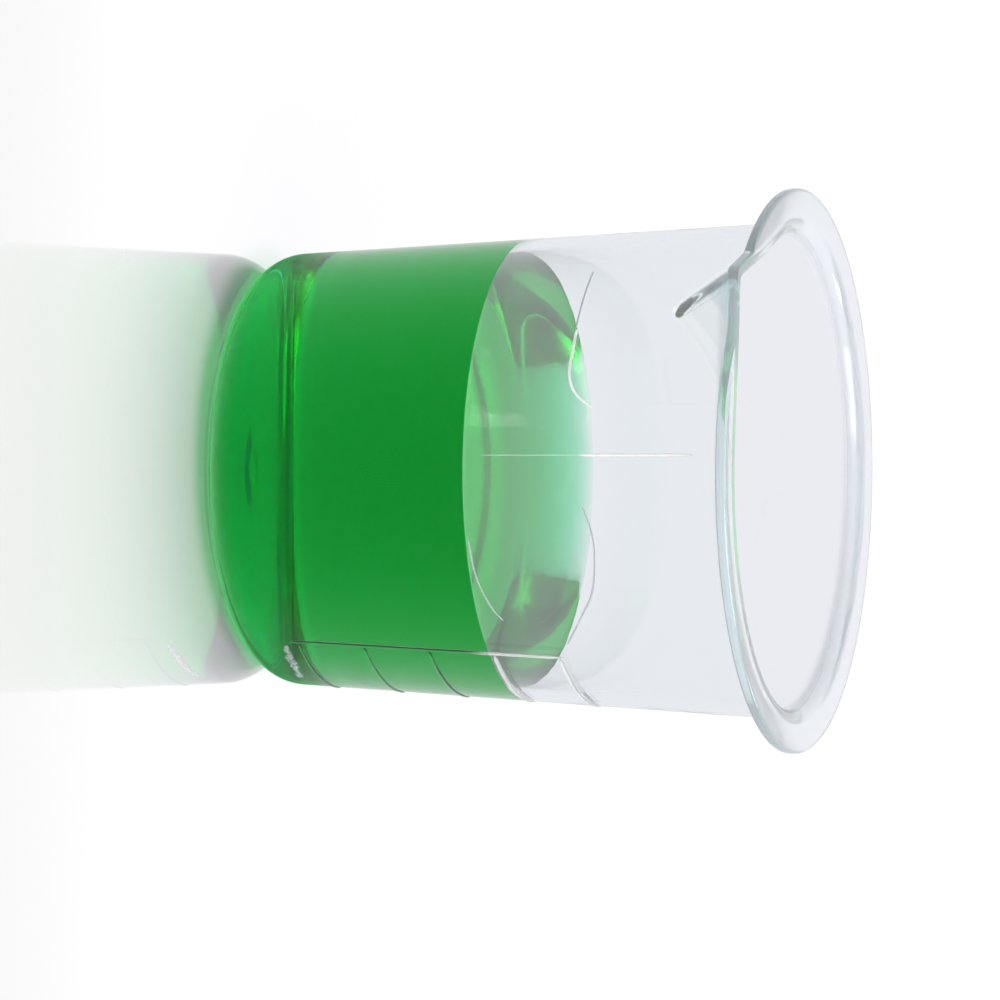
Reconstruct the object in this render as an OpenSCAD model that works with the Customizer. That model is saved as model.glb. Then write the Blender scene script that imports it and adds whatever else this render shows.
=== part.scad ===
// A small spouted beaker of clear plastic for catching a fuel sample, with the sample in it.
// The origin is on the cup's axis in the plane that it stands on, and +Z is up.
// The spout points along -X. The scale's stem is near -Y and its marks run from there towards +X.
// All sizes are in millimetres and all angles in degrees.

/* [Cup] */
// Height from the resting plane to the top of the rim
cup_h = 48.26; // [44:0.01:56]
// Outside radius of the side wall, carried down to the resting plane
wall_r = 18.56; // [17.5:0.01:20]
// Lean of the side wall away from the axis
draft = 3.23; // [1.5:0.01:4]
// Thickness of the side wall
wall_t = 1; // [0.8:0.1:1.3]
// Thickness of the floor over the resting ring
floor_t = 1; // [0.8:0.1:1.4]
// Outside radius of the corner between the floor and the side wall
corner_r = 4; // [3:0.1:5]

/* [Rim] */
// Outside radius of the flat rim flange
flange_r = 24.1; // [23.5:0.1:26]
// Thickness of the rim flange
flange_t = 0.96; // [0.8:0.01:1.2]
// Radius of the flange's outer edges
flange_edge_r = 0.3; // [0.1:0.05:0.4]
// Radius of the rounding where the bore turns over into the flange
mouth_r = 1.3; // [0.6:0.1:1.8]
// Radius of the fillet between the side wall and the flange's underside
under_r = 0.5; // [0.2:0.1:0.8]

/* [Spout] */
// Distance of the spout's tip from the cup's axis
spout_tip_r = 26.4; // [25.6:0.1:27]
// Height at which the spout's keel leaves the side wall
spout_foot_z = 40.9; // [39.5:0.1:42]
// Angle at the cup's axis from the keel to each crease at the top of the side wall
spout_half_angle = 17; // [14:1:18]
// Thickness of the spout's two sides
spout_t = 1; // [0.8:0.1:1.2]

/* [Base] */
// Radius of the shallow recess inside the resting ring
recess_r = 12.5; // [10:0.1:13.5]
// Depth of the recess
recess_d = 0.2; // [0.1:0.05:0.25]
// Radius of the gate vestige, the stub left in the recess by moulding
gate_r = 1.1; // [0.5:0.1:2]
// Height of the gate vestige
gate_h = 0.1; // [0.05:0.05:0.1]

/* [Scale] */
// Direction of the scale's stem about the cup's axis
scale_az = 270.5; // [220:0.5:320]
// Height of the lowest graduation mark
mark_first_z = 7; // [6.8:0.1:8]
// Distance from one mark to the next
mark_pitch = 5.9; // [5:0.05:6.2]
// Angle at the cup's axis that a mark spans
mark_sweep = 36; // [20:1:60]
// Height of a mark's line
mark_h = 0.4; // [0.3:0.05:0.6]
// How far the scale stands out from the side wall
scale_proud = 0.15; // [0.1:0.05:0.25]
// Height of the lower end of the scale's stem
stem_foot_z = 6; // [5.5:0.1:6.5]
// Angle at the cup's axis that the stem's width spans
stem_sweep = 1.4; // [1:0.1:3]

/* [Sample] */
// Height of the surface of the fuel sample
sample_z = 24; // [8:0.1:40]

/* [Hidden] */
MARKS = [1:5];
MARK_NAMES = [for (i = MARKS) str("graduation_mark_", i)];

$fn = 180;
arc_steps = 8;
past = 1; // how far a cutting shape runs past the face that it opens
spout_az = 180;

stem_top_z = mark_first_z + 4 * mark_pitch + mark_h / 2;
flange_under_z = cup_h - flange_t;
inner_corner_r = corner_r - wall_t;

// Radius of the side wall's outside and inside faces at height z
function outer_r(z) = wall_r + z * tan(draft);
function inner_r(z) = outer_r(z) - wall_t / cos(draft);

// Points of an arc about [x, z], from angle a to angle b
function arc(x, z, r, a, b) =
    [for (i = [0:arc_steps]) let (t = a + (b - a) * i / arc_steps) [x + r * cos(t), z + r * sin(t)]];

// The rounded corner between a floor at height z and the outside or inside face of the wall
function outer_corner() =
    arc(outer_r(corner_r) - corner_r / cos(draft), corner_r, corner_r, -90, -draft);
function inner_corner() =
    let (z = floor_t + inner_corner_r)
    arc(inner_r(z) - inner_corner_r / cos(draft), z, inner_corner_r, -90, -draft);

// The fillet from the side wall out to the flange's underside, and the flange's rounded edge
function under_fillet() =
    let (z = flange_under_z - under_r)
    arc(outer_r(z) + under_r / cos(draft), z, under_r, 180 - draft, 90);
function flange_edge() = concat(
    arc(flange_r - flange_edge_r, flange_under_z + flange_edge_r, flange_edge_r, -90, 0),
    arc(flange_r - flange_edge_r, cup_h - flange_edge_r, flange_edge_r, 0, 90));

// The rounding from the bore out to the flange's top face
function mouth_round() =
    let (z = cup_h - mouth_r)
    arc(inner_r(z) + mouth_r / cos(draft), z, mouth_r, 180 - draft, 90);
mouth_top_r = inner_r(cup_h - mouth_r) + mouth_r / cos(draft);

// The spout's keel runs from keel_foot on the wall up to keel_tip under the flange. Each side of the
// spout is a plane through the keel and the crease point at the top of the wall.
nose_lip = 0.25; // how far the flange's nose stands out over the keel
keel_foot = [outer_r(spout_foot_z), 0, spout_foot_z];
keel_tip = [spout_tip_r - nose_lip, 0, flange_under_z];
crease_z = cup_h - 2.8;
crease = [outer_r(crease_z) * cos(spout_half_angle), outer_r(crease_z) * sin(spout_half_angle), crease_z];
side_normal = cross(keel_tip - keel_foot, crease - keel_foot);
keel_angle = atan2(keel_tip[2] - keel_foot[2], keel_tip[0] - keel_foot[0]);
side_rise = -side_normal[1] / (side_normal[2] * cos(keel_angle) - side_normal[0] * sin(keel_angle));
nose_slope = side_normal[0] / side_normal[1];
channel_shift = spout_t * sqrt(1 + pow(side_rise, 2));
keel_length = 24;
spout_w = 15;
channel_w = 13;
wedge_top = 9;
wedge_sink = 0.1; // how far the spout's sides run up into the flange
nose_d = 5;

// The whole outside of the cup without its spout, as a solid
module outside() {
    rotate_extrude()
        polygon(concat([[0, 0]], outer_corner(), under_fillet(), flange_edge(), [[0, cup_h]]));
}

// The space inside the cup, open past the mouth
module bore() {
    rotate_extrude()
        polygon(concat([[0, floor_t]], inner_corner(), mouth_round(),
            [[mouth_top_r, cup_h + past], [0, cup_h + past]]));
}

// A prism of width w along the keel, with a V-shaped bottom and upright sides. Lift moves it up from
// the keel, towards the spout's channel.
module keel_wedge(w, lift = 0) {
    translate(keel_foot)
        rotate([0, -keel_angle, 0])
        translate([-keel_length / 2, 0, lift])
        rotate([90, 0, 90])
        linear_extrude(keel_length)
        polygon([
            [0, 0],
            [w / 2, w / 2 * side_rise],
            [w / 2, wedge_top],
            [-w / 2, wedge_top],
            [-w / 2, w / 2 * side_rise]
        ]);
}

// The outside of the spout: the keel's two sides under a flat nose that carries on the flange
module spout_outside() {
    intersection() {
        keel_wedge(spout_w);
        translate([keel_foot[0] - nose_d, -spout_w, spout_foot_z - past])
            cube([spout_tip_r, 2 * spout_w, flange_under_z + wedge_sink - spout_foot_z + past]);
    }
    translate([spout_tip_r, 0, flange_under_z])
        linear_extrude(flange_t)
        polygon([[0, 0], [-nose_d, nose_d * nose_slope], [-nose_d, -nose_d * nose_slope]]);
}

// The shallow recess in the base, less the gate vestige at its centre
module base_recess() {
    difference() {
        translate([0, 0, -past])
            cylinder(h = recess_d + past, r1 = recess_r + past, r2 = recess_r - recess_d);
        translate([0, 0, recess_d - gate_h])
            cylinder(h = gate_h + past, r = gate_r);
    }
}

// The cup: one moulding with its floor, side wall, rim flange and spout
module cup_body() {
    color([0.88, 0.9, 0.92, 0.4])
        difference() {
            union() {
                outside();
                rotate([0, 0, spout_az]) spout_outside();
            }
            bore();
            rotate([0, 0, spout_az]) keel_wedge(channel_w, channel_shift);
            base_recess();
        }
}

// The fuel sample, which fills the cup up to its level
module fuel_sample() {
    color([0.05, 0.6, 0.2])
        rotate_extrude()
        polygon(concat([[0, floor_t]], inner_corner(), [[inner_r(sample_z), sample_z], [0, sample_z]]));
}

// A raised line on the outside of the side wall, from angle az over sweep, between two heights
module raised_line(az, sweep, low_z, high_z) {
    rotate([0, 0, az])
        rotate_extrude(angle = sweep)
        polygon([
            [outer_r(low_z), low_z],
            [outer_r(low_z) + scale_proud, low_z],
            [outer_r(high_z) + scale_proud, high_z],
            [outer_r(high_z), high_z]
        ]);
}

// The upright line that the graduation marks start from
module graduation_stem() {
    color([0.8, 0.84, 0.86])
        raised_line(scale_az - stem_sweep / 2, stem_sweep, stem_foot_z, stem_top_z);
}

// One graduation mark, counted from the lowest
module graduation_mark(i) {
    z = mark_first_z + (i - 1) * mark_pitch;
    color([0.8, 0.84, 0.86])
        raised_line(scale_az + stem_sweep / 2, mark_sweep, z - mark_h / 2, z + mark_h / 2);
}

cup_body();
fuel_sample();
graduation_stem();
for (i = MARKS)
    graduation_mark(i);
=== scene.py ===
"""Clear plastic sampling beaker with a green fuel sample, on a glossy white table.

Lengths in this script are in millimetres, angles in degrees; to_metres() makes the Blender coordinates.
Heights are measured from the plane that the cup stands on. Azimuths are about the cup's axis from +X.
"""

from math import atan2, cos, degrees, exp, hypot, pi, radians, sin, sqrt, tan
from random import Random

import bmesh
import bpy
from mathutils import Matrix, Vector
from mathutils.geometry import interpolate_bezier


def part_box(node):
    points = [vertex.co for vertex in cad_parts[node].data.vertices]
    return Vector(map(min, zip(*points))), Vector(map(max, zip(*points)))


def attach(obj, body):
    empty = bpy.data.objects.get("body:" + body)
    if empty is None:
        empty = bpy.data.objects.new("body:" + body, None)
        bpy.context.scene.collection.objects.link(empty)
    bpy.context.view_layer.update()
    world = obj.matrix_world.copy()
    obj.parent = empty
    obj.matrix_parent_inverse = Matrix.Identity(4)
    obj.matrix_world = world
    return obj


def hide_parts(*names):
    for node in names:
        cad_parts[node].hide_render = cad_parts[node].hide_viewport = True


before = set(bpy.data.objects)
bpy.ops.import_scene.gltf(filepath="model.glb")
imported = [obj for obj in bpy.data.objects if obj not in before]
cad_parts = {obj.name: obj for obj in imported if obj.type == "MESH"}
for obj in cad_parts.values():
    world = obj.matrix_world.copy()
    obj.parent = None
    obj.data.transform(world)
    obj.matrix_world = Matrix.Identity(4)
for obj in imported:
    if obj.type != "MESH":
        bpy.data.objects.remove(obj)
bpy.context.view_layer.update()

MM = 0.001

# The cup, as the CAD model has it
cup_low, cup_high = (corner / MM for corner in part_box("cup_body"))
RIM_Z = cup_high.z
FLANGE_R = 24.1
FLANGE_T = 0.96
FLANGE_EDGE_R = 0.3
UNDER_R = 0.5
MOUTH_R = 1.3
WALL_R = 18.56
WALL_T = 1.0
DRAFT = 3.23
FLOOR_T = 1.0
CORNER_R = 4.0
RECESS_R = 12.5
RECESS_D = 0.2
RECESS_ROUND = 0.2
GATE_R = 1.1
GATE_H = 0.1
SAMPLE_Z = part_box("fuel_sample")[1].z / MM

# The spout
SPOUT_AZ = 180.0
# In plan, each side of the nose and keel spreads by its slope for each unit that it falls back
NOSE_SLOPE = 1.46
KEEL_SLOPE = 1.335
# Rounding of the two tips, as angles at the cup's axis
NOSE_ROUND = 0.6
KEEL_ROUND = 1.2
# Where the nose's sides would meet if its tip were sharp
NOSE_TIP_R = -cup_low.x + 0.2
KEEL_FOOT_Z = 40.9
# How far the keel leans out for each unit of height
KEEL_LEAN = 0.833
# How far the keel of the channel lies inside the outer one
SPOUT_INSET = 1.5
# Softness of the creases where the spout runs into the wall and the flange
CREASE_ROUND = 0.12
NOSE_CREASE_ROUND = 0.08
# Between these angles from its axis, the spout eases back into the round wall
BLEND_START = 24.0
BLEND_END = 34.0

# The wall's rings are closer together above this height, where the spout is
SPOUT_LOW_Z = 38.0
WALL_RINGS = 17
SPOUT_RINGS = 32
FLOOR_RINGS = (2, 5, 8, 11, 13)

# The camera looks at the cup from this direction. It is turned a quarter turn, so the cup's up
# direction points to the right of the picture.
CAMERA_AZ = 219.3
CAMERA_R = 596.4
CAMERA_Z = 209.3
CAMERA_PITCH = 17.5
CAMERA_YAW = 0.25
CAMERA_ROLL = 90.32
LENS = 260.6

# A height at which the side wall is straight, inside and outside
STRAIGHT_Z = 20

# Where two bodies of different material meet, they overlap by this much, so that no film of air is left
OVERLAP = 0.02


def to_metres(points):
    return [Vector(p) * MM for p in points]


def at(azimuth, radius, height):
    a = radians(azimuth)
    return Vector((radius * cos(a), radius * sin(a), height))


def smooth_max(a, b, width):
    return (a + b + sqrt((a - b) ** 2 + width**2)) / 2


def smooth_step(low, high, x):
    t = min(1.0, max(0.0, (x - low) / (high - low)))
    return t * t * (3 - 2 * t)


# ---------------------------------------------------------------- sections


def wall_outside(z):
    return WALL_R + z * tan(radians(DRAFT))


def wall_inside(z):
    return wall_outside(z) - WALL_T / cos(radians(DRAFT))


def from_spout(azimuth):
    """Signed angle from the spout's axis."""
    return (azimuth - SPOUT_AZ + 180) % 360 - 180


def plan_line(tip, slope, phi, rounding):
    """Radius, at angle phi from the tip's axis, of a line that falls back from a rounded tip."""
    a = radians(hypot(phi, rounding))
    return tip / (cos(a) + sin(a) / slope)


def with_spout(wall, tip, phi):
    """Radius of a wall that the spout pushes out to a line through tip."""
    if abs(phi) >= BLEND_END:
        return wall
    pushed = smooth_max(wall, plan_line(tip, KEEL_SLOPE, phi, KEEL_ROUND), CREASE_ROUND)
    return wall + (pushed - wall) * (1 - smooth_step(BLEND_START, BLEND_END, abs(phi)))


def keel(z):
    return wall_outside(KEEL_FOOT_Z) + (z - KEEL_FOOT_Z) * KEEL_LEAN


def outside(phi, z):
    return with_spout(wall_outside(z), keel(z), phi)


def inside(phi, z):
    return with_spout(wall_inside(z), keel(z) - SPOUT_INSET, phi)


def flange_edge(phi):
    if abs(phi) >= BLEND_START:
        return FLANGE_R
    return smooth_max(FLANGE_R, plan_line(NOSE_TIP_R, NOSE_SLOPE, phi, NOSE_ROUND), NOSE_CREASE_ROUND)


def fillet(before, corner, after, radius, steps):
    """Points of an arc of that radius that rounds off a corner between two straight runs."""
    before, corner, after = Vector(before), Vector(corner), Vector(after)
    back = (before - corner).normalized()
    on = (after - corner).normalized()
    half = back.angle(on) / 2
    reach = radius / tan(half)
    handle = 4 / 3 * tan((pi / 2 - half) / 2) * radius
    start, end = corner + back * reach, corner + on * reach
    curve = interpolate_bezier(start, start - back * handle, end - on * handle, end, steps)
    return [tuple(p) for p in curve]


def spread(low, high, count):
    """Evenly spaced values strictly between two ends."""
    return [low + (high - low) * (i + 1) / (count + 1) for i in range(count)]


def cup_section(phi):
    """The cup's section at angle phi from the spout.

    It is a list of (radius, height) that runs from the base's middle, round the rim, to the floor's.
    """
    under_z = RIM_Z - FLANGE_T
    edge = flange_edge(phi)
    shoulder = outside(phi, under_z)
    mouth = inside(phi, RIM_Z)
    under_r = min(UNDER_R, 0.4 * (edge - FLANGE_EDGE_R - shoulder))
    mouth_r = min(MOUTH_R, 0.6 * (edge - FLANGE_EDGE_R - mouth))
    points = [(GATE_R * share, RECESS_D - GATE_H) for share in (0.5, 0.9)]
    points += [(GATE_R, RECESS_D - GATE_H * 0.8), (GATE_R + 0.1, RECESS_D)]
    points += [(r, RECESS_D) for r in spread(GATE_R, RECESS_R - 1, 4)]
    recess_edge = (RECESS_R - RECESS_D, RECESS_D)
    points += fillet((0, RECESS_D), recess_edge, (RECESS_R, 0), RECESS_ROUND, 4)
    points += fillet(recess_edge, (RECESS_R, 0), (WALL_R, 0), RECESS_ROUND, 4)
    points += fillet((RECESS_R, 0), (WALL_R, 0), (wall_outside(STRAIGHT_Z), STRAIGHT_Z), CORNER_R, 16)
    heights = spread(CORNER_R, SPOUT_LOW_Z, WALL_RINGS)
    heights += spread(SPOUT_LOW_Z, under_z - under_r, SPOUT_RINGS)
    points += [(outside(phi, z), z) for z in heights]
    below = (outside(phi, under_z - 1), under_z - 1)
    points += fillet(below, (shoulder, under_z), (edge, under_z), under_r, 6)
    points += fillet((shoulder, under_z), (edge, under_z), (edge, RIM_Z), FLANGE_EDGE_R, 6)
    points += fillet((edge, under_z), (edge, RIM_Z), (mouth, RIM_Z), FLANGE_EDGE_R, 6)
    turn = fillet((edge, RIM_Z), (mouth, RIM_Z), (inside(phi, RIM_Z - 2), RIM_Z - 2), mouth_r, 12)
    points += turn
    heights = spread(turn[-1][1], SPOUT_LOW_Z, SPOUT_RINGS)
    heights += spread(SPOUT_LOW_Z, FLOOR_T + CORNER_R, WALL_RINGS)
    points += [(inside(phi, z), z) for z in heights]
    straight = (wall_inside(STRAIGHT_Z), STRAIGHT_Z)
    floor_edge = (wall_inside(FLOOR_T), FLOOR_T)
    points += fillet(straight, floor_edge, (0, FLOOR_T), CORNER_R - WALL_T, 14)
    points += [(r, FLOOR_T) for r in reversed(FLOOR_RINGS)]
    return points


# ---------------------------------------------------------------- meshes


def new_piece(name, points, faces, material, body="root"):
    mesh = bpy.data.meshes.new(name)
    mesh.from_pydata(to_metres(points), [], faces)
    shell = bmesh.new()
    shell.from_mesh(mesh)
    bmesh.ops.recalc_face_normals(shell, faces=shell.faces)
    shell.to_mesh(mesh)
    shell.free()
    for polygon in mesh.polygons:
        polygon.use_smooth = True
    mesh.materials.append(material)
    piece = bpy.data.objects.new(name, mesh)
    bpy.context.scene.collection.objects.link(piece)
    if body:
        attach(piece, body)
    return piece


def lathe(name, azimuths, section, low_pole, high_pole, material):
    """A closed piece from the sections at each azimuth, with one point on the axis at each end."""
    points, faces = [], []
    for azimuth in azimuths:
        points += [at(azimuth, r, z) for r, z in section(azimuth)]
    rows = len(points) // len(azimuths)
    low, high = len(points), len(points) + 1
    points += [Vector((0, 0, low_pole)), Vector((0, 0, high_pole))]
    for column in range(len(azimuths)):
        a = column * rows
        b = (column + 1) % len(azimuths) * rows
        faces.append((low, a, b)[::-1])
        faces += [(a + i, b + i, b + i + 1, a + i + 1) for i in range(rows - 1)]
        faces.append((high, b + rows - 1, a + rows - 1)[::-1])
    return new_piece(name, points, faces, material)


def bead(name, route, half_width, height, sides, material):
    """A thin half-round bead along a route of (point, outward normal) pairs, tapered at both ends."""
    points, faces = [], []
    count = len(route)
    for i, (point, normal) in enumerate(route):
        before, after = route[max(0, i - 1)][0], route[min(count - 1, i + 1)][0]
        across = (after - before).cross(normal).normalized()
        taper = sqrt(min(1.0, (min(i, count - 1 - i) + 0.15) / 3))
        for k in range(sides):
            t = 2 * pi * k / sides
            lift = height * sin(t) if sin(t) > 0 else OVERLAP * sin(t)
            points.append(point + across * (half_width * cos(t) * taper) + normal * (lift * taper))
    for i in range(count - 1):
        for k in range(sides):
            n = (k + 1) % sides
            faces.append((i * sides + k, i * sides + n, (i + 1) * sides + n, (i + 1) * sides + k))
    faces.append(tuple(range(sides))[::-1])
    faces.append(tuple((count - 1) * sides + k for k in range(sides)))
    return new_piece(name, points, faces, material)


# ---------------------------------------------------------------- materials

CLEAR_INDEX = 1.5
FUEL_INDEX = 1.34
FROST_INDEX = 1.3

# This weakens the reflection where plastic and liquid meet
WET_TINT = 0.1
WHITE = (1, 1, 1, 1)

# The plastic: its own colour, the rim's, and the one of the rim's outer edge
PLASTIC_COLOUR = (0.99, 0.995, 0.995, 1)
RIM_COLOUR = (0.84, 0.85, 0.88, 1)
EDGE_COLOUR = (0.7, 0.79, 0.82, 1)
PLASTIC_ABSORPTION = ((0.5, 0.84, 0.86, 1), 60.0)

# How much light the plastic lets through where it is clear, on the spout and on the rim
CLEAR, SPOUT_CLEAR, RIM_CLEAR = 1.0, 0.8, 0.72
# Each change in the plastic runs over a band from one length to another
SPOUT_BAND = (WALL_R + 0.04, WALL_R + 0.19)
RIM_BAND = (46.1, 46.9)
EDGE_BAND = (FLANGE_R - 0.4, FLANGE_R - 0.05)
DRY_BAND = (SAMPLE_Z, SAMPLE_Z + 6)
UNDERSIDE_BAND = (14.6, 15.2)
# In the underside's band, height counts this many times as much as distance from the axis
UNDERSIDE_STEEPNESS = 6.0
MATT, POLISHED = 0.1, 0.015

FUEL_THIN, FUEL_DEEP = (0.9, 1, 0.94, 1), WHITE
FUEL_ABSORPTION = ((0.0, 0.84, 0.48, 1), 200.0)

# The lines of the scale turn milky just above and below the sample's surface
MILKY_BAND = (SAMPLE_Z - 2, SAMPLE_Z + 1)
MILKY_CLEAR = 0.7


def metres(lengths):
    return [length * MM for length in lengths]


def new_material(name):
    material = bpy.data.materials.new(name)
    material.use_nodes = True
    nodes, links = material.node_tree.nodes, material.node_tree.links
    return material, nodes, links, nodes["Principled BSDF"]


def feed(links, value, socket):
    """Link a socket to another socket, or set it to a value."""
    if isinstance(value, bpy.types.NodeSocket):
        links.new(value, socket)
    else:
        socket.default_value = value


def calculate(nodes, links, kind, operation, values, output):
    """A Math or Vector Math node on values that are numbers, vectors or sockets."""
    node = nodes.new(kind)
    node.operation = operation
    for value, socket in zip(values, node.inputs):
        feed(links, value, socket)
    return node.outputs[output]


def scalar(nodes, links, operation, *values):
    return calculate(nodes, links, "ShaderNodeMath", operation, values, "Value")


def vector(nodes, links, operation, *values, output="Value"):
    return calculate(nodes, links, "ShaderNodeVectorMath", operation, values, output)


def link_fade(nodes, links, source, socket, band, first, last):
    """Run a socket from first to last while source crosses the band."""
    fade = nodes.new("ShaderNodeMapRange")
    fade.interpolation_type = "SMOOTHSTEP"
    fade.inputs["From Min"].default_value, fade.inputs["From Max"].default_value = band
    fade.inputs["To Min"].default_value = first
    fade.inputs["To Max"].default_value = last
    links.new(source, fade.inputs["Value"])
    links.new(fade.outputs["Result"], socket)


# Where a Mix node keeps its colours
MIX_FIRST, MIX_LAST, MIX_RESULT = 6, 7, 2


def blend(nodes, links, first, last):
    """A Mix node that runs from one colour to another, each given as a colour or as a socket."""
    mix = nodes.new("ShaderNodeMix")
    mix.data_type = "RGBA"
    feed(links, first, mix.inputs[MIX_FIRST])
    feed(links, last, mix.inputs[MIX_LAST])
    return mix


def blend_over(nodes, links, source, band, first, last):
    """The colour that runs from first to last while source crosses the band."""
    mix = blend(nodes, links, first, last)
    link_fade(nodes, links, source, mix.inputs["Factor"], band, 0.0, 1.0)
    return mix.outputs[MIX_RESULT]


def noise(nodes, links, place, size, detail=2):
    """Noise in object space with features of about that size in millimetres, from 0 to 1."""
    texture = nodes.new("ShaderNodeTexNoise")
    texture.inputs["Scale"].default_value = 1 / (size * MM)
    texture.inputs["Detail"].default_value = detail
    links.new(place, texture.inputs["Vector"])
    return texture.outputs["Fac"]


def link_bump(nodes, links, height, shader, depth):
    bump = nodes.new("ShaderNodeBump")
    bump.inputs["Strength"].default_value = 1.0
    bump.inputs["Distance"].default_value = depth * MM
    links.new(height, bump.inputs["Height"])
    links.new(bump.outputs["Normal"], shader.inputs["Normal"])


def from_axis(nodes, links, place):
    """Distance from the cup's axis."""
    flat = vector(nodes, links, "MULTIPLY", place, (1, 1, 0), output="Vector")
    return vector(nodes, links, "LENGTH", flat)


def height_of(nodes, links, place):
    parts = nodes.new("ShaderNodeSeparateXYZ")
    links.new(place, parts.inputs["Vector"])
    return parts.outputs["Z"]


def add_absorption(nodes, links, colour, density):
    absorb = nodes.new("ShaderNodeVolumeAbsorption")
    absorb.inputs["Color"].default_value = colour
    absorb.inputs["Density"].default_value = density
    links.new(absorb.outputs["Volume"], nodes["Material Output"].inputs["Volume"])


def clear_plastic(name):
    """Clear moulded plastic with faint flow waves, a hazy flange and spout, and a matt underside."""
    material, nodes, links, shader = new_material(name)
    shader.inputs["IOR"].default_value = CLEAR_INDEX
    place = nodes.new("ShaderNodeTexCoord").outputs["Object"]
    z = height_of(nodes, links, place)
    r = from_axis(nodes, links, place)
    rim_band = metres(RIM_BAND)

    clear = nodes.new("ShaderNodeMath")
    clear.operation = "MINIMUM"
    # The distance from the axis, carried down to the table along the wall's lean
    foot_r = scalar(nodes, links, "MULTIPLY_ADD", z, -tan(radians(DRAFT)), r)
    link_fade(nodes, links, foot_r, clear.inputs[0], metres(SPOUT_BAND), CLEAR, SPOUT_CLEAR)
    link_fade(nodes, links, z, clear.inputs[1], rim_band, CLEAR, RIM_CLEAR)
    links.new(clear.outputs["Value"], shader.inputs["Transmission Weight"])

    rim = blend_over(nodes, links, z, rim_band, PLASTIC_COLOUR, RIM_COLOUR)
    edge = blend_over(nodes, links, r, metres(EDGE_BAND), rim, EDGE_COLOUR)
    links.new(edge, shader.inputs["Base Color"])

    link_fade(nodes, links, z, shader.inputs["Specular Tint"], metres(DRY_BAND), WET_TINT, 1.0)
    under = scalar(nodes, links, "MULTIPLY_ADD", z, UNDERSIDE_STEEPNESS, r)
    link_fade(nodes, links, under, shader.inputs["Roughness"], metres(UNDERSIDE_BAND), MATT, POLISHED)
    link_bump(nodes, links, noise(nodes, links, place, 6), shader, 0.02)
    add_absorption(nodes, links, *PLASTIC_ABSORPTION)
    return material


def scale_plastic(name):
    """The plastic of the raised scale, which looks milky above the sample."""
    material, nodes, links, shader = new_material(name)
    shader.inputs["Base Color"].default_value = WHITE
    shader.inputs["IOR"].default_value = CLEAR_INDEX
    shader.inputs["Roughness"].default_value = MATT
    shader.inputs["Specular Tint"].default_value = (WET_TINT, WET_TINT, WET_TINT, 1)
    place = nodes.new("ShaderNodeTexCoord").outputs["Object"]
    z = height_of(nodes, links, place)
    clear = shader.inputs["Transmission Weight"]
    link_fade(nodes, links, z, clear, metres(MILKY_BAND), CLEAR, MILKY_CLEAR)
    link_bump(nodes, links, noise(nodes, links, place, 1), shader, 0.01)
    return material


def frost(name):
    """Half-clear white, for trapped bubbles, drying films and the seam of the moulding."""
    material, nodes, links, shader = new_material(name)
    shader.inputs["IOR"].default_value = FROST_INDEX
    shader.inputs["Roughness"].default_value = 0.3
    place = nodes.new("ShaderNodeTexCoord").outputs["Object"]
    grain = noise(nodes, links, place, 0.6)
    link_fade(nodes, links, grain, shader.inputs["Base Color"], (0.3, 0.7), 0.9, 1.0)
    link_fade(nodes, links, grain, shader.inputs["Transmission Weight"], (0.35, 0.65), 0.15, 0.5)
    return material


def green_fuel(name):
    """Clear green fuel with faint swirls and a nearly flat surface."""
    material, nodes, links, shader = new_material(name)
    shader.inputs["Transmission Weight"].default_value = CLEAR
    shader.inputs["IOR"].default_value = FUEL_INDEX
    shader.inputs["Roughness"].default_value = 0.0
    shader.inputs["Specular Tint"].default_value = (WET_TINT, WET_TINT, WET_TINT, 1)
    place = nodes.new("ShaderNodeTexCoord").outputs["Object"]
    swirls = noise(nodes, links, place, 5, detail=4)
    tint = blend_over(nodes, links, swirls, (0.35, 0.65), FUEL_THIN, FUEL_DEEP)
    links.new(tint, shader.inputs["Base Color"])
    link_bump(nodes, links, swirls, shader, 0.005)
    add_absorption(nodes, links, *FUEL_ABSORPTION)
    return material


# Painted shade: what shows through the cup is a little darker and bluer than the table and the surroundings
PAINTED_SHADE_SEEN_THROUGH = (0.869, 0.853, 0.892, 1)
# Painted light and shade: round the foot, rays that come off the cup see the table dark green, as if light
# had come through the fuel
PAINTED_FOOT_GLOW = (0.13, 0.52, 0.2, 1)
FOOT_SHADE = (0.4, 0.7, 0.5, 1)
# Painted shade: a faint tint on the table's glow near the cup
PAINTED_NEAR_SHADE = (0.99, 0.98, 1.04, 1)
# The shade lies a little to the left of the foot as the camera sees it
SHADE_CENTRE = (-0.9, 0.6)
SHADE_BAND = (16.2, 19.5)
# Bands of distance from the axis in which the table's painted light and shade change
PAINTED_NEAR_SHADE_BAND = (22, 48)
PAINTED_FOOT_GLOW_BAND = (20, 35)
# Painted light: for rays that come through the cup or off its faces, the table under the foot glows
# brighter
PAINTED_FOOT_LIGHT_BAND = (12, 20)
PAINTED_FOOT_LIGHT = 1.75
# Painted shade: the table dims towards the camera
PAINTED_FRONT_SHADE_BAND = (20, 70)
TABLE_BRIGHTNESS, PAINTED_FRONT_SHADE_LEVEL = 0.9, 0.785
# The mirror image of the cup fades with distance from the axis
MIRROR_STRENGTH = 1.42
MIRROR_REACH = 22


def shade_centre():
    right, forward = SHADE_CENTRE
    return at(CAMERA_AZ + 90, right, 0) + at(CAMERA_AZ, forward, 0)


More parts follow.
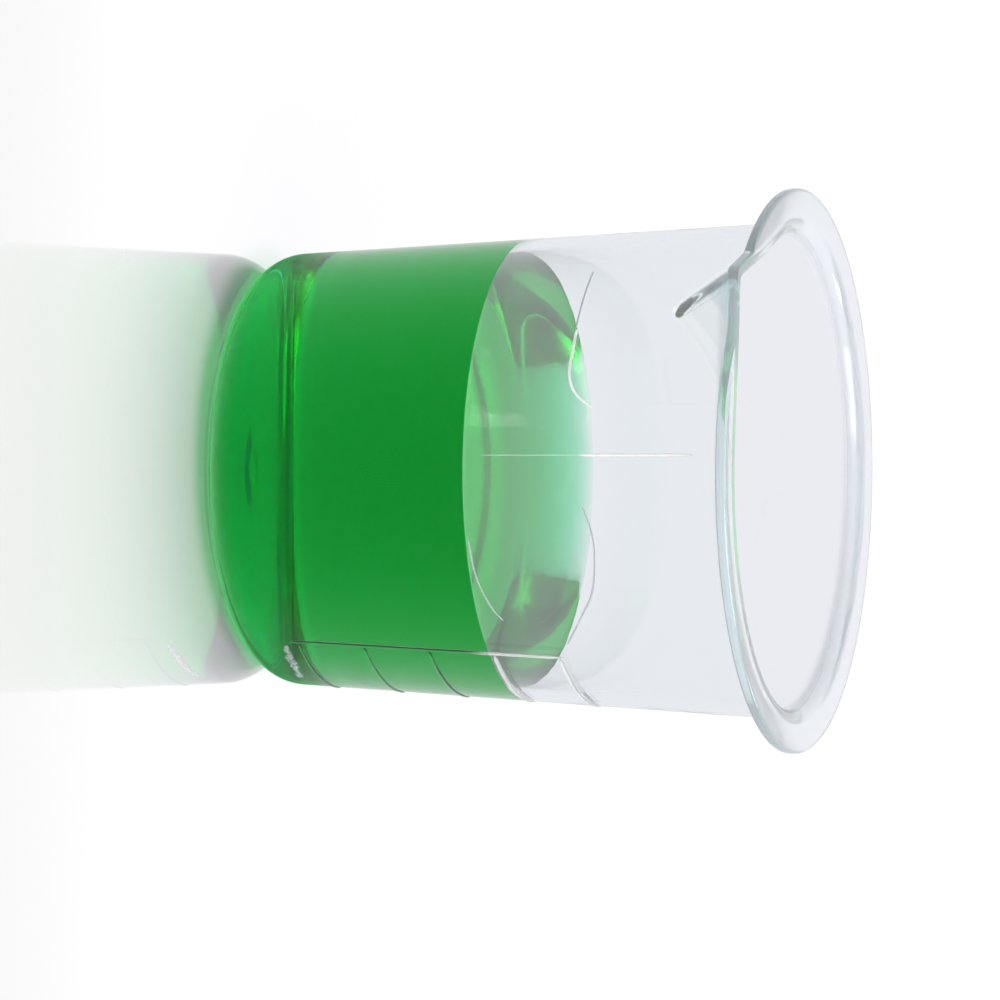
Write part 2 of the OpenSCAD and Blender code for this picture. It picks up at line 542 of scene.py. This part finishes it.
def table_glow(nodes, links, place, distance):
    """The table's own light, with painted shade: dimmer to the front, faintly tinted near the cup, with a
    green shade at the cup's foot.
    """
    forward = vector(nodes, links, "DOT_PRODUCT", place, at(CAMERA_AZ, 1, 0))
    offset = vector(nodes, links, "DISTANCE", place, shade_centre() * MM)
    # Painted shade: the glow is faintly tinted near the cup
    near = blend_over(nodes, links, distance, metres(PAINTED_NEAR_SHADE_BAND), PAINTED_NEAR_SHADE, WHITE)
    shade = blend_over(nodes, links, offset, metres(SHADE_BAND), FOOT_SHADE, near)
    glow = nodes.new("ShaderNodeEmission")
    strength = glow.inputs["Strength"]
    # Painted shade: the glow dims towards the camera
    link_fade(nodes, links, forward, strength, metres(PAINTED_FRONT_SHADE_BAND), TABLE_BRIGHTNESS, PAINTED_FRONT_SHADE_LEVEL)
    links.new(shade, glow.inputs["Color"])
    return glow.outputs["Emission"]


def table_seen_through(nodes, links, path, distance):
    """The table as rays see it that come through the cup or off its faces, with painted light under the
    foot and a painted green glow round it.
    """
    glow_band = metres(PAINTED_FOOT_GLOW_BAND)
    # Painted green glow and shade round the foot, for rays that come off the cup
    reflected = blend_over(nodes, links, distance, glow_band, PAINTED_FOOT_GLOW, PAINTED_SHADE_SEEN_THROUGH)
    tone = blend(nodes, links, reflected, PAINTED_SHADE_SEEN_THROUGH)
    links.new(path.outputs["Is Transmission Ray"], tone.inputs["Factor"])
    through = nodes.new("ShaderNodeEmission")
    links.new(tone.outputs[MIX_RESULT], through.inputs["Color"])
    strength = through.inputs["Strength"]
    # Painted light under the foot
    link_fade(nodes, links, distance, strength, metres(PAINTED_FOOT_LIGHT_BAND), PAINTED_FOOT_LIGHT, 1.0)
    return through.outputs["Emission"]


def mix_shaders(nodes, links, share, first, last):
    mix = nodes.new("ShaderNodeMixShader")
    links.new(share, mix.inputs["Fac"])
    links.new(first, mix.inputs[1])
    links.new(last, mix.inputs[2])
    return mix.outputs["Shader"]


def white_table(name):
    """White table top. It mirrors the cup near its foot, turns matt further out and dims to the front, with
    painted light and shade in its glow.
    """
    material, nodes, links, shader = new_material(name)
    nodes.remove(shader)
    place = nodes.new("ShaderNodeTexCoord").outputs["Object"]
    path = nodes.new("ShaderNodeLightPath")
    distance = vector(nodes, links, "LENGTH", place)
    decay = scalar(nodes, links, "POWER", exp(-1 / (MIRROR_REACH * MM)), distance)
    mirror = scalar(nodes, links, "MULTIPLY", decay, MIRROR_STRENGTH)

    matt = nodes.new("ShaderNodeBsdfDiffuse")
    matt.inputs["Color"].default_value = (0.1, 0.1, 0.1, 1)
    top = nodes.new("ShaderNodeAddShader")
    links.new(matt.outputs["BSDF"], top.inputs[0])
    links.new(table_glow(nodes, links, place, distance), top.inputs[1])
    gloss = nodes.new("ShaderNodeBsdfGlossy")
    gloss.inputs["Color"].default_value = WHITE
    gloss.inputs["Roughness"].default_value = 0.02

    polished = mix_shaders(nodes, links, mirror, top.outputs["Shader"], gloss.outputs["BSDF"])
    through = table_seen_through(nodes, links, path, distance)
    table = mix_shaders(nodes, links, path.outputs["Is Glossy Ray"], polished, through)
    links.new(table, nodes["Material Output"].inputs["Surface"])
    return material


# ---------------------------------------------------------------- the object

KNIT_AZ = 215.8


def cup_azimuths():
    """Azimuths of the cup's sections, closer together at the spout."""
    coarse = [a for a in (i * 1.25 for i in range(288)) if abs(from_spout(a)) > BLEND_END + 1]
    fine = [SPOUT_AZ + i * 0.4 for i in range(-88, 89)]
    return sorted(coarse + fine)


def build_cup(material):
    cup = lathe(
        "cup",
        cup_azimuths(),
        lambda azimuth: cup_section(from_spout(azimuth)),
        RECESS_D - GATE_H,
        FLOOR_T,
        material,
    )
    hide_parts("cup_body")


MENISCUS_H = 0.05
MENISCUS_W = 0.5
SURFACE_RINGS = 25
SIDE_RINGS = 18
# Two more rings just below the edge keep the smooth shading of the edge off the side
EDGE_GAPS = (0.2, 0.02)


def sample_section(azimuth):
    """The sample's section: it laps into the cup's inside by OVERLAP and climbs the wall a little."""
    floor = FLOOR_T - OVERLAP
    top = SAMPLE_Z + MENISCUS_H
    edge = wall_inside(top) + OVERLAP
    corner = (wall_inside(FLOOR_T) + OVERLAP, floor)
    points = [(r, floor) for r in FLOOR_RINGS]
    straight = (wall_inside(STRAIGHT_Z) + OVERLAP, STRAIGHT_Z)
    points += fillet((0, floor), corner, straight, CORNER_R - WALL_T, 14)
    heights = spread(CORNER_R + FLOOR_T, top, SIDE_RINGS) + [top - gap for gap in EDGE_GAPS]
    points += [(wall_inside(z) + OVERLAP, z) for z in heights]
    for i in range(SURFACE_RINGS):
        r = edge * (1 - (i / (SURFACE_RINGS + 1)) ** 2)
        points.append((r, SAMPLE_Z + MENISCUS_H * exp((r - edge) / MENISCUS_W)))
    return points


def build_sample(material):
    azimuths = [i * 1.5 for i in range(240)]
    sample = lathe("sample", azimuths, sample_section, FLOOR_T - OVERLAP, SAMPLE_Z, material)
    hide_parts("fuel_sample")


def cad_azimuths(node):
    """Lowest and highest azimuth of a CAD node's corners."""
    found = [degrees(atan2(v.co.y, v.co.x)) % 360 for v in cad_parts[node].data.vertices]
    return min(found), max(found)


def outward(azimuth):
    """Outward normal of the leaning side wall."""
    return at(azimuth, cos(radians(DRAFT)), -sin(radians(DRAFT)))


STEM_HALF_WIDTH = 0.24
MARK_HALF_WIDTH = 0.2
LINE_H = 0.1
LINE_STEPS = 60


def build_scale(material):
    """The raised graduation scale: one bead for the stem and one for each mark."""
    for node in [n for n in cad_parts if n.startswith("graduation")]:
        low, high = (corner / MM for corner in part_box(node))
        first, last = cad_azimuths(node)
        if node.endswith("stem"):
            az = (first + last) / 2
            heights = [low.z + (high.z - low.z) * i / LINE_STEPS for i in range(LINE_STEPS + 1)]
            route = [(at(az, wall_outside(z), z), outward(az)) for z in heights]
            half_width = STEM_HALF_WIDTH
        else:
            z = (low.z + high.z) / 2
            turns = [first + (last - first) * i / LINE_STEPS for i in range(LINE_STEPS + 1)]
            route = [(at(az, wall_outside(z), z), outward(az)) for az in turns]
            half_width = MARK_HALF_WIDTH
        line = bead(node.replace("graduation", "scale"), route, half_width, LINE_H, 12, material)
        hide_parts(node)


def curve_through(points, steps):
    """A smooth curve of tuples through points (Catmull-Rom)."""
    ends = [points[0]] + points + [points[-1]]
    curve = []
    for p, q, r, s in zip(ends, ends[1:], ends[2:], ends[3:]):
        for i in range(steps):
            t = i / steps
            weights = (
                -t + 2 * t**2 - t**3,
                2 - 5 * t**2 + 3 * t**3,
                t + 4 * t**2 - 3 * t**3,
                t**3 - t**2,
            )
            axes = zip(p, q, r, s)
            curve.append(tuple(sum(w * v for w, v in zip(weights, values)) / 2 for values in axes))
    return curve + [points[-1]]


# Edges of the films that poured liquid left on the inside of the wall: (azimuth, height)
INSIDE_FILMS = {
    "left": [(162, 32.9), (171, 32.9), (183, 32.9)],
    "right": [(228, 34.6), (234, 35.3), (241, 35.4), (250, 34.8), (258, 33.3), (267, 31.5)],
    "low": [(237, 24.3), (247, 24.6), (256, 25.5), (260, 26.3)],
}
# The edge of the film that it left on the outside
OUTSIDE_FILM = [(184, 33.2), (190, 33.2), (196.3, 33.2), (201, 33.9), (204.6, 35.5)]


# Half width and height of the films' edges, inside and outside
INSIDE_EDGE = (0.08, 0.04)
OUTSIDE_EDGE = (0.13, 0.05)


def build_films(material):
    for side, points in INSIDE_FILMS.items():
        route = [(at(az, wall_inside(z), z), -outward(az)) for az, z in curve_through(points, 12)]
        bead("film_edge_" + side, route, *INSIDE_EDGE, 8, material)
    route = [(at(az, wall_outside(z), z), outward(az)) for az, z in curve_through(OUTSIDE_FILM, 12)]
    bead("film_edge_outside", route, *OUTSIDE_EDGE, 8, material)


# The knit line's lower part is finer than its upper one: (name, low, high, half width)
KNIT_RUNS = (
    ("knit_line_low", 25.8, 34.5, 0.02),
    ("knit_line_high", 34.5, 44.6, 0.12),
)
KNIT_FLATNESS = 0.4


def build_knit_line(material):
    """The fine seam where the plastic met itself as the mould filled."""
    for name, low, high, half_width in KNIT_RUNS:
        heights = [low] + spread(low, high, 30) + [high]
        route = [(at(KNIT_AZ, wall_outside(z), z), outward(KNIT_AZ)) for z in heights]
        bead(name, route, half_width, half_width * KNIT_FLATNESS, 8, material)


BUBBLE_COUNT = 110
BUBBLE_R = (0.08, 0.24)
# The strip starts at this azimuth and height, and sinks as it runs on
FOAM_AZ, FOAM_SWEEP = 274.5, 20
FOAM_Z, FOAM_FALL, FOAM_SPREAD = 5.4, 0.5, 0.12


def build_foam(material):
    """A strip of small bubbles that clings to the inside below the scale."""
    random = Random(4)
    foam = bmesh.new()
    for _ in range(BUBBLE_COUNT):
        share = random.random()
        z = FOAM_Z - FOAM_FALL * share + random.gauss(0, FOAM_SPREAD)
        size = random.uniform(*BUBBLE_R)
        middle = at(FOAM_AZ + FOAM_SWEEP * share, wall_inside(z) - size * 0.6, z)
        place = Matrix.Translation(middle * MM)
        bmesh.ops.create_icosphere(foam, subdivisions=2, radius=size * MM, matrix=place)
    mesh = bpy.data.meshes.new("foam")
    foam.to_mesh(mesh)
    foam.free()
    mesh.materials.append(material)
    piece = bpy.data.objects.new("foam", mesh)
    bpy.context.scene.collection.objects.link(piece)
    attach(piece, "root")


# ---------------------------------------------------------------- the studio


def build_camera():
    """The camera is turned a quarter turn, so the cup's up direction points to the right of the picture."""
    data = bpy.data.cameras.new("camera")
    data.lens = LENS
    data.clip_start = 0.01
    data.clip_end = 100
    camera = bpy.data.objects.new("camera", data)
    bpy.context.scene.collection.objects.link(camera)
    camera.matrix_world = (
        Matrix.Translation(at(CAMERA_AZ, CAMERA_R, CAMERA_Z) * MM)
        @ Matrix.Rotation(radians(CAMERA_AZ + 90 - CAMERA_YAW), 4, "Z")
        @ Matrix.Rotation(radians(90 - CAMERA_PITCH), 4, "X")
        @ Matrix.Rotation(radians(CAMERA_ROLL), 4, "Z")
    )
    bpy.context.scene.camera = camera


# The table lies this far below the cup, so that their faces don't coincide
TABLE_GAP = 0.03
TABLE_HALF = 4000


def build_floor():
    signs = ((-1, -1), (1, -1), (1, 1), (-1, 1))
    corners = [Vector((x * TABLE_HALF, y * TABLE_HALF, -TABLE_GAP)) for x, y in signs]
    floor = new_piece("table_top", corners, [(0, 1, 2, 3)], white_table("white_table"), body=None)


# The surroundings as rays see them that come through the cup
WORLD_SEEN_THROUGH = (1.03, 1.03, 1.08, 1)


def build_world():
    world = bpy.data.worlds.new("studio")
    bpy.context.scene.world = world
    world.use_nodes = True
    nodes, links = world.node_tree.nodes, world.node_tree.links
    path = nodes.new("ShaderNodeLightPath")
    tone = blend(nodes, links, WHITE, WORLD_SEEN_THROUGH)
    links.new(path.outputs["Is Transmission Ray"], tone.inputs["Factor"])
    links.new(tone.outputs[MIX_RESULT], nodes["Background"].inputs["Color"])


def area_light(name, azimuth, elevation, distance, size, power):
    data = bpy.data.lights.new(name, "AREA")
    data.shape = "RECTANGLE"
    data.size, data.size_y = size[0] * MM, size[1] * MM
    data.energy = power
    light = bpy.data.objects.new(name, data)
    bpy.context.scene.collection.objects.link(light)
    out = at(azimuth, distance * cos(radians(elevation)), distance * sin(radians(elevation)))
    middle = Vector((0, 0, RIM_Z / 2))
    light.location = (middle + out) * MM
    light.rotation_mode = "QUATERNION"
    light.rotation_quaternion = out.to_track_quat("Z", "Y")
    return light


def build_lights():
    area_light("key", CAMERA_AZ + 45, elevation=40, distance=600, size=(440, 300), power=2.6)
    side = area_light("side", CAMERA_AZ + 120, elevation=40, distance=600, size=(160, 120), power=0.5)
    side.visible_transmission = False


build_camera()
plastic = clear_plastic("clear_plastic")
build_cup(plastic)
build_sample(green_fuel("green_fuel"))
build_scale(scale_plastic("scale_plastic"))
white_frost = frost("white_frost")
build_films(white_frost)
build_knit_line(white_frost)
build_foam(white_frost)
build_floor()
build_world()
build_lights()
bpy.context.scene.view_settings.view_transform = "Standard"
LIGHT_BOUNCES = 32
light_paths = bpy.context.scene.cycles
light_paths.max_bounces = LIGHT_BOUNCES
light_paths.glossy_bounces = LIGHT_BOUNCES
light_paths.transmission_bounces = LIGHT_BOUNCES
